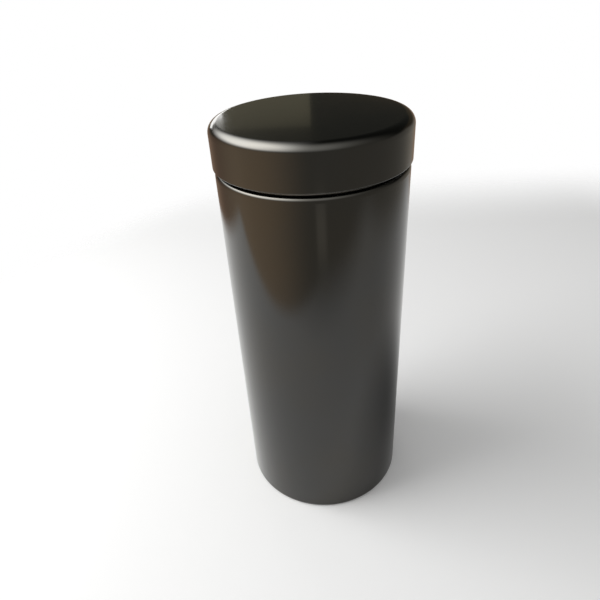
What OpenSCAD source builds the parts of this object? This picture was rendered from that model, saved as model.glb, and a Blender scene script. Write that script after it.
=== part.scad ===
// Tall round metal tin with a slip-on lid, in millimetres.
// The origin is at the centre of the ring that it stands on, and +Z is up.

/* [Overall size] */
// Outside diameter of the body
body_d = 73; // [65:0.5:83]
// Height of the closed tin, from the table to the top of the lid
total_h = 174; // [90:1:220]
// Thickness of the tinplate
sheet = 0.3; // [0.2:0.05:0.35]

/* [Lid] */
// Outside diameter of the lid's skirt beyond the body's
lid_extra_d = 1.1; // [0.8:0.1:1.8]
// Height of the lid, from its hem to its top
lid_h = 15.9; // [14:0.1:30]
// Outside radius of the lid's shoulder
lid_shoulder_r = 3.5; // [3:0.1:3.8]
// Gap that shows between the lid's hem and the body's shoulder
reveal = 1.15; // [0.5:0.05:2]
// Outside radius of the hem's two corners
hem_r = 0.4; // [0.35:0.05:0.8]
// Height of the hem's inner leg
hem_leg_h = 2; // [1.2:0.1:3]
// Radial clearance between the lid's hem and the neck
lid_fit = 0.1; // [0.05:0.01:0.2]
// Stand-off between the lid's underside and the neck's mouth
lid_seat = 0.2; // [0.2:0.05:0.4]

/* [Neck] */
// How far the neck is set in from the body's outside
neck_inset = 2.2; // [2.1:0.1:2.4]
// Outside radius of the curl round the mouth
mouth_curl_r = 0.9; // [0.8:0.05:1]
// Length of the collar's skirt inside the body
collar_skirt_h = 8; // [5:0.5:15]

/* [Body] */
// Outside radius of the body's rolled-in shoulder
shoulder_r = 2; // [1.2:0.1:2]
// Outside radius of the standing rim's edges
rim_r = 1.1; // [0.9:0.05:1.2]
// Width of the standing rim
rim_w = 2.6; // [2.5:0.05:2.8]
// Height of the rim's inner leg
rim_leg_h = 3; // [2.6:0.1:3.2]

/* [Base plate] */
// Height of the recessed panel above the table, to the middle of the sheet
panel_z = 2.8; // [2.6:0.1:3]
// Radius at which the panel's raised centre starts
panel_step_r = 22; // [15:0.5:26]
// Height of the panel's raised centre
panel_step_h = 0.8; // [0.4:0.1:1.2]

/* [Hidden] */

body_r = body_d / 2;
lid_r = body_r + lid_extra_d / 2;
neck_r = body_r - neck_inset;
half = sheet / 2;               // the outlines follow the middle of the sheet
lid_z = total_h - lid_h;        // underside of the lid's hem
body_h = lid_z - reveal;        // top of the body's shoulder
mouth_z = total_h - sheet - lid_seat;
wall_mid = body_r - half;
neck_mid = neck_r - half;

// The base plate's rim hooks over the standing rim's inner leg
rim_leg_mid = body_r - rim_w + half;
hook_gap = 0.05;                // between the plate's chuck wall and the leg
hook_r = 0.75;
hook_z = rim_leg_h + 0.6;
chuck_mid = rim_leg_mid - sheet - hook_gap;
flange_mid = chuck_mid + 2 * hook_r;
flange_z = 1.3;                 // lower edge of the flange in the rim
panel_fillet = hook_z - panel_z;
step_run = 2;                   // radial length of the panel's ramp

$fn = 180;
arc_steps = 8;                  // straight steps in a quarter turn
point_gap = 0.001;              // points nearer than this are one point

function arc(centre, r, from, to) =
    let (steps = max(2, round(abs(to - from) / 90 * arc_steps)))
    [for (i = [0:steps])
        let (a = from + (to - from) * i / steps)
        centre + r * [cos(a), sin(a)]];

function normal_of(a, b) = let (d = (b - a) / norm(b - a)) [-d.y, d.x];

// Direction and length of the mitre at point i of a path
function mitre(path, i) =
    let (last = len(path) - 1,
         before = normal_of(path[max(i - 1, 0)], path[max(i, 1)]),
         after = normal_of(path[min(i, last - 1)], path[min(i + 1, last)]),
         sum = before + after,
         n = sum / norm(sum))
    n / (n * before);

// The path without points that repeat the one before them
function cleaned(path) =
    [for (i = [0:len(path) - 1])
        if (i == 0 || norm(path[i] - path[max(i - 1, 0)]) > point_gap) path[i]];

// Outline of a sheet whose middle follows the path
function sheet_outline(whole_path) =
    let (path = cleaned(whole_path), last = len(path) - 1)
    concat([for (i = [0:last]) path[i] + half * mitre(path, i)],
           [for (i = [last:-1:0]) path[i] - half * mitre(path, i)]);

module spun_sheet(path) {
    rotate_extrude() polygon(sheet_outline(path));
}

// Outer wall: a standing rim turned up inside, and a shoulder turned in at the top
module body_wall() {
    leg_foot = [rim_leg_mid - half + rim_r, rim_r];
    wall_foot = [body_r - rim_r, rim_r];
    shoulder = [body_r - shoulder_r, body_h - shoulder_r];
    color([0.27, 0.25, 0.22])
    spun_sheet(concat(
        [[rim_leg_mid, rim_leg_h]],
        arc(leg_foot, rim_r - half, 180, 270),
        arc(wall_foot, rim_r - half, 270, 360),
        arc(shoulder, shoulder_r - half, 0, 90),
        [[neck_r, body_h - half]]));
}

// Stepped ring inside the body: its neck carries the lid, its mouth edge is curled in
module neck_collar() {
    skirt_mid = wall_mid - sheet;
    bend_r = (skirt_mid - neck_mid) / 2;
    step_z = body_h - sheet - shoulder_r;
    mouth = [neck_r - mouth_curl_r, mouth_z - mouth_curl_r];
    color([0.72, 0.71, 0.68])
    spun_sheet(concat(
        [[skirt_mid, step_z - collar_skirt_h]],
        arc([skirt_mid - bend_r, step_z - bend_r], bend_r, 0, 90),
        arc([skirt_mid - bend_r, step_z + bend_r], bend_r, 270, 180),
        arc(mouth, mouth_curl_r - half, 0, 260)));
}

// Stamped bottom: a recessed panel whose edge hooks over the standing rim's inner leg
module base_plate() {
    color([0.66, 0.65, 0.62])
    spun_sheet(concat(
        [[0, panel_z + panel_step_h],
         [panel_step_r, panel_z + panel_step_h],
         [panel_step_r + step_run, panel_z]],
        arc([chuck_mid - panel_fillet, hook_z], panel_fillet, 270, 360),
        arc([chuck_mid + hook_r, hook_z], hook_r, 180, 0),
        [[flange_mid, flange_z]]));
}

// Sealing compound between the base plate's flange and the body's wall
module seam_compound() {
    inner = flange_mid + half;
    outer = body_r - sheet;
    color([0.45, 0.43, 0.38])
    rotate_extrude()
    translate([inner, flange_z])
    square([outer - inner, hook_z - flange_z]);
}

// Drawn lid: flat top, rounded shoulder, straight skirt and a hem folded in to the neck
module lid_shell() {
    leg_mid = neck_r + lid_fit + half;
    leg_foot = [leg_mid - half + hem_r, lid_z + hem_r];
    skirt_foot = [lid_r - hem_r, lid_z + hem_r];
    shoulder = [lid_r - lid_shoulder_r, total_h - lid_shoulder_r];
    color([0.27, 0.25, 0.22])
    spun_sheet(concat(
        [[leg_mid, lid_z + hem_leg_h]],
        arc(leg_foot, hem_r - half, 180, 270),
        arc(skirt_foot, hem_r - half, 270, 360),
        arc(shoulder, lid_shoulder_r - half, 0, 90),
        [[0, total_h - half]]));
}

body_wall();
neck_collar();
base_plate();
seam_compound();
lid_shell();
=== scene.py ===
from math import pi, radians

import bmesh
import bpy
from mathutils import Matrix, Vector


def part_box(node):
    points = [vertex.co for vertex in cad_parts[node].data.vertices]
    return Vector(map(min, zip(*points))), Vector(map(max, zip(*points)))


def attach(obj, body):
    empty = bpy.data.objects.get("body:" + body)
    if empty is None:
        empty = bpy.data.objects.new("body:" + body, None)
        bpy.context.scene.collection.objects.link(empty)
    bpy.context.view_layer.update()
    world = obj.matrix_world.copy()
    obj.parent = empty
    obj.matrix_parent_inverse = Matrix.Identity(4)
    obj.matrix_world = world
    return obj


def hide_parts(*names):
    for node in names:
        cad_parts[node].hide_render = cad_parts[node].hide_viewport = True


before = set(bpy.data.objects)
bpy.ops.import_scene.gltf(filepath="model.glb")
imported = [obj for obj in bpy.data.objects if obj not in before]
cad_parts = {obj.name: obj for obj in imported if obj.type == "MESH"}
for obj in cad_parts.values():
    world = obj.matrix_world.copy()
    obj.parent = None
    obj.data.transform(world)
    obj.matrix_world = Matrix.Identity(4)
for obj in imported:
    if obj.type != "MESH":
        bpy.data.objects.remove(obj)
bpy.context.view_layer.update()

mm = 0.001
scene = bpy.context.scene
scene.view_settings.view_transform = "Standard"


# Shader maths: a wire is a node's output, and + - * on it add Math nodes

class Wire:
    def __init__(self, finish, socket):
        self.finish = finish
        self.socket = socket

    def maths(self, operation, *others):
        return self.finish.node("Math", {"operation": operation}, dict(enumerate((self,) + others)))

    def __add__(self, other):
        return self.maths("ADD", other)

    def __sub__(self, other):
        return self.maths("SUBTRACT", other)

    def __rsub__(self, other):
        return self.finish.node("Math", {"operation": "SUBTRACT"}, {0: other, 1: self})

    def __mul__(self, other):
        return self.maths("MULTIPLY", other)

    __radd__ = __add__
    __rmul__ = __mul__

    def between(self, low, high):  # 0 below low, 1 above high, smooth in between
        return self.finish.node("MapRange", {"interpolation_type": "SMOOTHSTEP"},
                                {"Value": self, "From Min": low, "From Max": high})


class Finish:
    def __init__(self, owner):
        owner.use_nodes = True
        self.tree = owner.node_tree
        self.tree.nodes.clear()

    def node(self, kind, settings=None, values=None, output=0):
        made = self.tree.nodes.new("ShaderNode" + kind)
        for key, value in (settings or {}).items():
            setattr(made, key, value)
        for key, value in (values or {}).items():
            if isinstance(value, Wire):
                self.tree.links.new(value.socket, made.inputs[key])
            else:
                made.inputs[key].default_value = value
        return Wire(self, made.outputs[output]) if len(made.outputs) else None

    def end(self, kind, shader):
        self.node("Output" + kind, {}, {"Surface": shader})

    def mixed(self, factor, a, b):  # colours a and b blended by factor
        return self.node("Mix", {"data_type": "RGBA"}, {0: factor, 6: a, 7: b}, 2)

    def noise(self, place, scale, detail, roughness=0.5):
        return self.node("TexNoise", {}, {"Vector": place, "Scale": scale, "Detail": detail,
                                          "Roughness": roughness})

    def axes(self, vector):  # its x, y and z
        split = self.node("SeparateXYZ", {}, {0: vector})
        return [Wire(self, socket) for socket in split.socket.node.outputs]


def grey(value):
    return (value, value, value, 1.0)


# Finishes

aboutRadius = 0.0365  # of the tin, in metres: it turns an angle into a distance round the wall

coat = {
    "colour": (0.056, 0.0552, 0.053, 1.0),
    "browner": (0.059, 0.0555, 0.049, 1.0),
    "bareSteel": (0.55, 0.54, 0.52, 1.0),
    "metallic": 1.0,
    "roughness": 0.13,
    "clearCoat": 0.5,
    "clearRoughness": 0.05,
    "cloud": (24.0, 3.0, 0.5),                # each noise is its scale, detail and roughness
    "smudge": (70.0, 5.0, 0.62),
    "peel": (900.0, 2.0, 0.5),
    "sheetWave": (16.0, 0.0, 0.5),
    "scuffs": (1.0, 3.0, 0.7),
    "worn": (420.0, 4.0, 0.7),
    "combing": (60.0, 1400.0, 300.0),         # stretches the scuffs round the wall
    "wornHeight": (0.0001, 0.0009),           # the foot is worn below these heights
    "bumpHeight": 0.000012,
}


def aroundAndUp(finish):
    # in metres: distance round the tin from its front, from its axis and up, and the plain position
    place = finish.node("TexCoord", output=3)
    x, y, z = finish.axes(place)
    angle = x.maths("ARCTAN2", y * -1.0)
    radius = (x * x + y * y).maths("SQRT")
    return angle * aboutRadius, radius, z, place


def combedAlong(finish, around, radius, height, combing):
    return finish.node("CombineXYZ", {}, {
        "X": around * combing[0], "Y": height * combing[1], "Z": radius * combing[2]})


def makeCoat():
    material = bpy.data.materials.new("darkCoat")
    finish = Finish(material)
    around, radius, height, place = aroundAndUp(finish)
    cloud, smudge, peel, sheetWave, worn = [
        finish.noise(place, *coat[name]) for name in ("cloud", "smudge", "peel", "sheetWave", "worn")]
    scuffs = finish.noise(combedAlong(finish, around, radius, height, coat["combing"]), *coat["scuffs"])
    foot = 1.0 - height.between(*coat["wornHeight"])
    footWear = (foot * 0.75 + worn * 0.6).between(0.85, 1.05) * foot
    colour = finish.mixed(cloud.between(0.35, 0.65), coat["colour"], coat["browner"])
    colour = finish.mixed(footWear, colour, coat["bareSteel"])
    smudged = coat["roughness"] - 0.015  # the smudges add about that much on average
    rough = smudge.between(0.3, 0.75) * 0.03 + scuffs.between(0.6, 0.85) * 0.02 + smudged + footWear * 0.12
    bump = peel * 0.12 + sheetWave * 20.0 + worn * footWear * 2.0
    surface = finish.node("Bump", {}, {"Height": bump, "Distance": coat["bumpHeight"], "Strength": 1.0})
    shader = finish.node("BsdfPrincipled", {}, {
        "Base Color": colour, "Roughness": rough, "Normal": surface, "Metallic": coat["metallic"],
        "Coat Weight": coat["clearCoat"], "Coat Roughness": coat["clearRoughness"]})
    finish.end("Material", shader)
    return material


tinplate = {
    "bright": (0.66, 0.655, 0.63, 1.0),
    "dull": (0.60, 0.585, 0.55, 1.0),
    "metallic": 0.88,
    "roughness": 0.24,
    "cloud": (45.0, 4.0, 0.6),
    "grain": (1.0, 4.0, 0.65),
    "combing": (40.0, 5000.0, 5000.0),
    "bumpHeight": 0.000004,
}


def makeTinplate():
    material = bpy.data.materials.new("bareTinplate")
    finish = Finish(material)
    around, radius, height, place = aroundAndUp(finish)
    cloud = finish.noise(place, *tinplate["cloud"])
    grain = finish.noise(combedAlong(finish, around, radius, height, tinplate["combing"]), *tinplate["grain"])
    colour = finish.mixed(cloud.between(0.3, 0.7), tinplate["bright"], tinplate["dull"])
    rough = tinplate["roughness"] + grain * 0.12 + cloud * 0.06
    surface = finish.node("Bump", {}, {
        "Height": grain, "Distance": tinplate["bumpHeight"], "Strength": 1.0})
    shader = finish.node("BsdfPrincipled", {}, {
        "Base Color": colour, "Roughness": rough, "Normal": surface, "Metallic": tinplate["metallic"]})
    finish.end("Material", shader)
    return material


compound = {
    "dark": (0.34, 0.32, 0.27, 1.0),
    "pale": (0.48, 0.45, 0.39, 1.0),
    "roughness": 0.62,
    "lumps": (1500.0, 4.0, 0.6),
    "bumpHeight": 0.00005,
}


def makeCompound():
    material = bpy.data.materials.new("sealingCompound")
    finish = Finish(material)
    place = finish.node("TexCoord", output=3)
    lumps = finish.noise(place, *compound["lumps"])
    colour = finish.mixed(lumps, compound["dark"], compound["pale"])
    surface = finish.node("Bump", {}, {
        "Height": lumps, "Distance": compound["bumpHeight"], "Strength": 1.0})
    shader = finish.node("BsdfPrincipled", {}, {
        "Base Color": colour, "Roughness": compound["roughness"] + lumps * 0.15, "Normal": surface})
    finish.end("Material", shader)
    return material


darkCoat = makeCoat()
bareTinplate = makeTinplate()
sealingCompound = makeCompound()
print("finishes ready")


# Sheet-metal work: an outline of corners is rounded, held near its bends, and spun round the axis

metal = {"sheet": 0.3, "bendSteps": 9, "hold": 0.25, "turnSteps": 288, "seamSteps": 12,
         "seamWidth": 1.6}  # lengths in mm, here and in the other pieces
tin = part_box("body_wall")[1] / mm
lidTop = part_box("lid_shell")[1] / mm
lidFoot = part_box("lid_shell")[0] / mm
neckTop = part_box("neck_collar")[1] / mm
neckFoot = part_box("neck_collar")[0] / mm
bodyRadius = tin.x
half = metal["sheet"] / 2


def drawOutline(corners):
    # corners are (radius, height, rounding) in mm along the middle of the sheet
    shape = bmesh.new()
    verts = [shape.verts.new((r * mm, 0.0, z * mm)) for r, z, rounding in corners]
    for first, second in zip(verts, verts[1:]):
        shape.edges.new((first, second))
    for vert, (r, z, rounding) in zip(verts, corners):
        if rounding:
            bmesh.ops.bevel(shape, geom=[vert], offset=rounding * mm, offset_type="OFFSET",
                            segments=metal["bendSteps"], profile=0.5, affect="VERTICES", material=-1)
    hold = metal["hold"] * mm
    for edge in [e for e in shape.edges if e.calc_length() > 4 * hold]:
        length = edge.calc_length()
        bmesh.ops.bisect_edges(shape, edges=[edge], cuts=1, edge_percents={edge: hold / length})
    for edge in [e for e in shape.edges if e.calc_length() > 3 * hold]:
        length = edge.calc_length()
        bmesh.ops.bisect_edges(shape, edges=[edge], cuts=1, edge_percents={edge: 1 - hold / length})
    return shape


def spinOutline(shape, withSeam=False):
    # one full turn, or a wide turn and a narrow fine one where the side seam is, at the back
    seamTurn = metal["seamWidth"] / bodyRadius if withSeam else 0.0
    bmesh.ops.rotate(shape, verts=shape.verts[:], cent=(0, 0, 0),
                     matrix=Matrix.Rotation(pi / 2 + seamTurn / 2, 3, "Z"))
    turns = [(2 * pi - seamTurn, metal["turnSteps"])]
    if withSeam:
        turns.append((seamTurn, metal["seamSteps"]))
    start = shape.verts[:] + shape.edges[:]
    for turn, steps in turns:
        done = bmesh.ops.spin(shape, geom=start, cent=(0, 0, 0), axis=(0, 0, 1), dvec=(0, 0, 0),
                              angle=turn, steps=steps, use_merge=not withSeam, use_duplicate=False)
        start = done["geom_last"]
    bmesh.ops.remove_doubles(shape, verts=shape.verts[:], dist=0.0000005)
    bmesh.ops.recalc_face_normals(shape, faces=shape.faces[:])
    widest = max(shape.faces, key=lambda f: f.calc_center_median().xy.length)
    outward = widest.normal.dot(Vector((*widest.calc_center_median().xy, 0)))
    if outward < 0:
        bmesh.ops.reverse_faces(shape, faces=shape.faces[:])
    return shape


def makePiece(name, shape, materials, body, nodes):
    mesh = bpy.data.meshes.new(name)
    shape.to_mesh(mesh)
    shape.free()
    for material in materials:
        mesh.materials.append(material)
    mesh.polygons.foreach_set("use_smooth", [True] * len(mesh.polygons))
    piece = bpy.data.objects.new(name, mesh)
    scene.collection.objects.link(piece)
    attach(piece, body)
    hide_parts(*nodes)
    print("piece", name, len(mesh.polygons), "faces")
    return piece


def thicken(piece, inside):
    wall = piece.modifiers.new("sheet", "SOLIDIFY")
    wall.thickness = metal["sheet"] * mm
    wall.offset = 0.0
    wall.use_even_offset = True
    wall.material_offset = inside
    wall.material_offset_rim = inside


# Body wall: rim leg, standing rim, wall and shoulder, with a lapped and welded side seam at the back

seam = {"lift": 0.12, "edge": 0.3, "from": 2.0, "below": 3.0, "fade": 3.0}
bodyWall = {"rimWidth": 2.6, "rimRounding": 0.95, "legHeight": 3.0, "shoulderRounding": 1.85,
            "neckInset": 2.2}


def raiseSeam(shape):
    # the lap stands a little proud of the wall, between the standing rim and the shoulder
    low = (seam["from"] + seam["fade"] / 2) * mm
    high = (tin.z - seam["below"] - seam["fade"] / 2) * mm
    reach = metal["seamWidth"] / bodyRadius / 2
    for vert in shape.verts:
        across = abs(Vector((0.0, 1.0)).angle_signed(vert.co.xy.normalized())) / reach
        onWall = vert.co.xy.length > (bodyRadius - metal["sheet"]) * mm
        if across < 1.0 and onWall and low < vert.co.z < high:
            lift = seam["lift"] * mm * min(1.0, (1.0 - across) / seam["edge"])
            vert.co += Vector((0.0, lift, 0.0))


def makeBodyWall():
    leg = bodyRadius - bodyWall["rimWidth"] + half
    wall = bodyRadius - half
    seamFoot, seamTop = seam["from"], tin.z - seam["below"]
    corners = [
        (leg, bodyWall["legHeight"], 0),
        (leg, half, bodyWall["rimRounding"]),
        (wall, half, bodyWall["rimRounding"]),
        (wall, seamFoot, 0),
        (wall, seamFoot + seam["fade"], 0),
        (wall, seamTop - seam["fade"], 0),
        (wall, seamTop, 0),
        (wall, tin.z - half, bodyWall["shoulderRounding"]),
        (bodyRadius - bodyWall["neckInset"], tin.z - half, 0),
    ]
    shape = spinOutline(drawOutline(corners), withSeam=True)
    raiseSeam(shape)
    piece = makePiece("bodyWall", shape, [darkCoat, bareTinplate], "tin", ["body_wall"])
    thicken(piece, 1)


# Neck collar: skirt inside the body, step, neck and curled mouth

neckCollar = {"stepRounding": 0.95, "curlRounding": 0.75}


def makeNeckCollar():
    skirt = neckTop.x - half
    neck = bodyRadius - bodyWall["neckInset"] - half
    step = tin.z - 3 * half - bodyWall["shoulderRounding"]
    curl = neckCollar["curlRounding"]
    mouth = neckTop.z - half
    corners = [
        (skirt, neckFoot.z, 0),
        (skirt, step, neckCollar["stepRounding"]),
        (neck, step, neckCollar["stepRounding"]),
        (neck, mouth, curl),
        (neck - 2 * curl, mouth, curl),
        (neck - 2 * curl, mouth - 2 * curl, curl),
        (neck - curl, mouth - 2 * curl, 0),
    ]
    shape = spinOutline(drawOutline(corners))
    piece = makePiece("neckCollar", shape, [bareTinplate], "tin", ["neck_collar"])
    thicken(piece, 0)


# Base plate: recessed panel with a stamped ring, hooked over the standing rim's leg

basePlate = {"panel": 2.8, "raise": 0.8, "stepAt": 22.0, "stepRun": 2.0, "stepRounding": 0.5,
             "hook": 0.75, "hookHeight": 3.6, "flangeFoot": 1.3, "legGap": 0.05}


def makeBasePlate():
    chuck = bodyRadius - bodyWall["rimWidth"] + half - metal["sheet"] - basePlate["legGap"]
    hook = basePlate["hook"]
    low = basePlate["panel"]
    high = low + basePlate["raise"]
    crest = basePlate["hookHeight"] + hook
    step = basePlate["stepAt"]
    corners = [
        (0, high, 0),
        (step, high, basePlate["stepRounding"]),
        (step + basePlate["stepRun"], low, basePlate["stepRounding"]),
        (chuck, low, basePlate["hookHeight"] - low),
        (chuck, crest, hook),
        (chuck + 2 * hook, crest, hook),
        (chuck + 2 * hook, basePlate["flangeFoot"], 0),
    ]
    shape = spinOutline(drawOutline(corners))
    piece = makePiece("basePlate", shape, [bareTinplate], "tin", ["base_plate"])
    thicken(piece, 0)


# Sealing compound in the bottom seam

seamCompound = {"width": 0.85}


def makeSeamCompound():
    low, high = [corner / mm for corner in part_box("seam_compound")]
    outer = high.x
    inner = outer - seamCompound["width"]
    corners = [(inner, low.z, 0), (outer, low.z, 0), (outer, high.z, 0), (inner, high.z, 0)]
    shape = drawOutline(corners)
    ends = [v for v in shape.verts if len(v.link_edges) == 1]
    shape.edges.new(ends)
    shape = spinOutline(shape)
    makePiece("seamCompound", shape, [sealingCompound], "tin", ["seam_compound"])


# Lid: hem folded in to the neck, skirt, rounded shoulder and flat top

lidShell = {"shoulderRounding": 3.35, "hemRounding": 0.25, "hemLeg": 2.0, "neckGap": 0.1}


def makeLid():
    skirt = lidTop.x - half
    top = lidTop.z - half
    foot = lidFoot.z + half
    leg = bodyRadius - bodyWall["neckInset"] + lidShell["neckGap"] + half
    corners = [
        (leg, lidFoot.z + lidShell["hemLeg"], 0),
        (leg, foot, lidShell["hemRounding"]),
        (skirt, foot, lidShell["hemRounding"]),
        (skirt, top, lidShell["shoulderRounding"]),
        (0, top, 0),
    ]
    shape = spinOutline(drawOutline(corners))
    piece = makePiece("lidShell", shape, [darkCoat, bareTinplate], "lid", ["lid_shell"])
    thicken(piece, 1)


makeBodyWall()
makeNeckCollar()
makeBasePlate()
makeSeamCompound()
makeLid()


# Studio: pale floor, pale surroundings, soft lights

studio = {
    "paleView": 1.0,
    "ambient": 0.46,                          # what the floor is lit by, besides the lamps
    "glowFrom": (-0.70, 0.04, 0.70),
    "glowColour": (9.0, 8.9, 8.55),
    "glowTightness": 3.0,
    "fillFrom": (-0.10, -0.60, 0.79),
    "fillColour": (1.2, 1.2, 1.15),
    "fillTightness": 5.0,
    "front": (0.25, 0.24, 0.21, 1.0),
    "aboveLeft": (0.07, 0.064, 0.048, 1.0),
    "aboveRight": (0.03, 0.031, 0.027, 1.0),
    "belowLeft": (0.86, 0.66, 0.46, 1.0),
    "belowRight": (0.29, 0.275, 0.24, 1.0),
    "belowBehind": (0.25, 0.17, 0.12, 1.0),
    "backBand": (0.042, 0.028, 0.014),
    "frontStrip": (0.2, 0.19, 0.17),
}

floor = {
    "radius": 1.2,
    "colour": (0.84, 0.84, 0.83, 1.0),
    "seenColour": (0.985, 0.985, 0.98, 1.0),
    "right": (0.26, 0.42),                    # each edge fades out between two distances, in metres
    "back": (0.26, 0.42),
    "backLeft": (-0.355, -0.285),
    "front": (-0.28, -0.15),
    "slant": (0.57, 0.82),
    "frontLeft": (-0.215, -0.182),
    "shade": (0.34, 0.34, 0.335, 1.0),        # painted shadow: a dim patch beside the tin's foot, left out of what the camera sees directly
    "shadeAt": (0.072, 0.015),
    "shadeReach": (0.01, 0.10),
}


def makeWorld():
    world = bpy.data.worlds.new("studio")
    scene.world = world
    finish = Finish(world)
    direction = finish.node("TexCoord", output=0)
    right, ahead, up = finish.axes(direction)

    def glow(source, tightness):  # 1 towards the source, falling off round it
        towards = Vector(studio[source]).normalized()
        facing = right * towards.x + ahead * towards.y + up * towards.z
        return facing.maths("MAXIMUM", 0.0).maths("POWER", tightness) * up.between(0.15, 0.55)

    def added(room, colour, amount):
        lit = finish.node("VectorMath", {"operation": "SCALE"}, {"Vector": studio[colour], "Scale": amount})
        return finish.node("VectorMath", {"operation": "ADD"}, {0: room, 1: lit})

    above = finish.mixed(right.between(-0.6, 0.2), studio["aboveLeft"], studio["aboveRight"])
    above = finish.mixed(ahead.between(-0.3, 0.4), studio["front"], above)
    below = finish.mixed(right.between(-1.0, 0.0), studio["belowLeft"], studio["belowRight"])
    behind = ahead.between(-0.1, 0.7) * (1.0 - right.between(0.3, 0.7))
    below = finish.mixed(behind, below, studio["belowBehind"])
    skyline = (up + ahead.between(0.5, 0.8) * 0.2).between(0.08, 0.35)  # lower straight ahead than all round
    room = finish.mixed(skyline, below, above)
    fromTheLeft = 1.0 - right.between(-0.5, 0.08)
    room = added(room, "glowColour", glow("glowFrom", studio["glowTightness"]) * fromTheLeft)
    room = added(room, "fillColour", glow("fillFrom", studio["fillTightness"]))
    strip = right.between(0.0, 0.06) * (1.0 - right.between(0.16, 0.24)) * (1.0 - ahead.between(-0.5, 0.0))
    room = added(room, "frontStrip", strip * up.between(-0.52, -0.44) * (1.0 - up.between(-0.385, -0.37)))
    band = right.between(-0.04, 0.04) * ahead.between(0.3, 0.7)
    room = added(room, "backBand", band * (1.0 - (up - right * 0.22).between(0.176, 0.192)))
    mirrored = finish.node("LightPath", output=3)
    seen = finish.node("LightPath", output=0)
    colour = finish.mixed(mirrored, grey(studio["ambient"]), room)
    colour = finish.mixed(seen, colour, grey(studio["paleView"]))
    light = finish.node("Background", {}, {"Color": colour, "Strength": 1.0})
    finish.end("World", light)


def makeFloor():
    shape = bmesh.new()
    bmesh.ops.create_circle(shape, cap_ends=True, segments=96, radius=floor["radius"])
    mesh = bpy.data.meshes.new("floor")
    shape.to_mesh(mesh)
    shape.free()
    material = bpy.data.materials.new("paleFloor")
    finish = Finish(material)
    place = finish.node("TexCoord", output=3)
    x, y = finish.axes(place)[:2]
    slantX, slantY = floor["slant"]
    edges = [1.0 - x.between(*floor["right"]), 1.0 - y.between(*floor["back"]), y.between(*floor["front"]),
             (x * slantX + y * slantY).between(*floor["frontLeft"]),
             (x * slantY - y * slantX).between(*floor["backLeft"])]
    inside = edges[0]
    for edge in edges[1:]:
        inside = inside * edge
    # painted shadow: the floor colour darkens round shadeAt, for every ray but the camera's
    alongX, alongY = x - floor["shadeAt"][0], y - floor["shadeAt"][1]
    away = (alongX * alongX + alongY * alongY).maths("SQRT").between(*floor["shadeReach"])
    colourWithPaintedShadow = finish.mixed(away, floor["shade"], floor["colour"])
    seen = finish.node("LightPath", output=0)
    colour = finish.mixed(seen, colourWithPaintedShadow, floor["seenColour"])
    paint = finish.node("BsdfDiffuse", {}, {"Color": colour, "Roughness": 0.0})
    nothing = finish.node("BsdfTransparent")
    shader = finish.node("MixShader", {}, {0: inside, 1: nothing, 2: paint})
    finish.end("Material", shader)
    mesh.materials.append(material)
    ground = bpy.data.objects.new("floor", mesh)
    scene.collection.objects.link(ground)


lights = {
    "key": {"at": (-0.42, -0.02, 0.50), "aim": (0.0, 0.0, 0.0), "size": (0.42, 0.42), "watts": 2.8,
            "colour": (1.0, 1.0, 1.0), "mirrored": False},
    "backPanel": {"at": (-0.28, 1.0, 0.27), "aim": (-0.28, 0.0, 0.27), "size": (0.56, 0.34), "watts": 0.06,
                  "colour": (1.0, 0.90, 0.58), "mirrored": True},
    "backWindow": {"at": (-0.36, 0.9, 0.33), "aim": (-0.36, 0.0, 0.33), "size": (0.36, 0.12), "watts": 0.3,
                   "colour": (1.0, 1.0, 1.0), "mirrored": True},
}


def makeLights():
    for name, lamp in lights.items():
        data = bpy.data.lights.new(name, "AREA")
        data.shape = "RECTANGLE"
        data.size, data.size_y = lamp["size"]
        data.energy = lamp["watts"]
        data.color = lamp["colour"]
        light = bpy.data.objects.new(name, data)
        light.location = lamp["at"]
        facing = Vector(lamp["aim"]) - Vector(lamp["at"])
        light.rotation_euler = facing.to_track_quat("-Z", "Y").to_euler()
        light.visible_camera = False
        light.visible_glossy = lamp["mirrored"]
        scene.collection.objects.link(light)


view = {"back": 0.19108, "up": 0.21957, "turn": 2.36, "down": 33.12, "roll": -3.62, "lens": 31.12}


def makeCamera():
    data = bpy.data.cameras.new("camera")
    data.sensor_width = 36.0
    data.lens = view["lens"]
    data.clip_start = 0.01
    camera = bpy.data.objects.new("camera", data)
    turn = Matrix.Rotation(radians(view["turn"]), 4, "Z")
    down = Matrix.Rotation(radians(90.0 - view["down"]), 4, "X")
    roll = Matrix.Rotation(radians(view["roll"]), 4, "Z")
    camera.matrix_world = Matrix.Translation((0.0, -view["back"], view["up"])) @ turn @ down @ roll
    scene.collection.objects.link(camera)
    scene.camera = camera


makeWorld()
makeFloor()
makeLights()
makeCamera()
print("studio ready")
